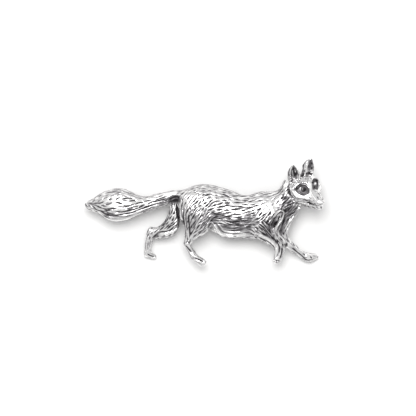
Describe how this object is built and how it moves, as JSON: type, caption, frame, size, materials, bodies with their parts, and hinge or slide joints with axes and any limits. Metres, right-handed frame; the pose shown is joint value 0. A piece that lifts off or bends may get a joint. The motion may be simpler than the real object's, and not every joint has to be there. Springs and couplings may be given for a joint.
{
  "type": "figural animal brooch",
  "caption": "Cast walking fox brooch in antiqued silver finish, head turned to the viewer, with an engraved coat and a plain bar pin on its flat back.",
  "frame": {"origin": "on the resting surface, under the middle of the bounding box", "axes": "+X from the tail to the head, +Y from the paws to the ears, +Z out of the face of the brooch, towards the viewer"},
  "size_m": [0.0623, 0.0279, 0.0116],
  "materials": {
    "antique_silver": "silver plate, polished on the raised parts and darkened in the recesses",
    "plated_steel": "plain nickel plate, slightly satin"
  },
  "bodies": {
    "root": {"fox_casting": "antique_silver", "bar_pin": "plated_steel"}
  },
  "joints": []
}
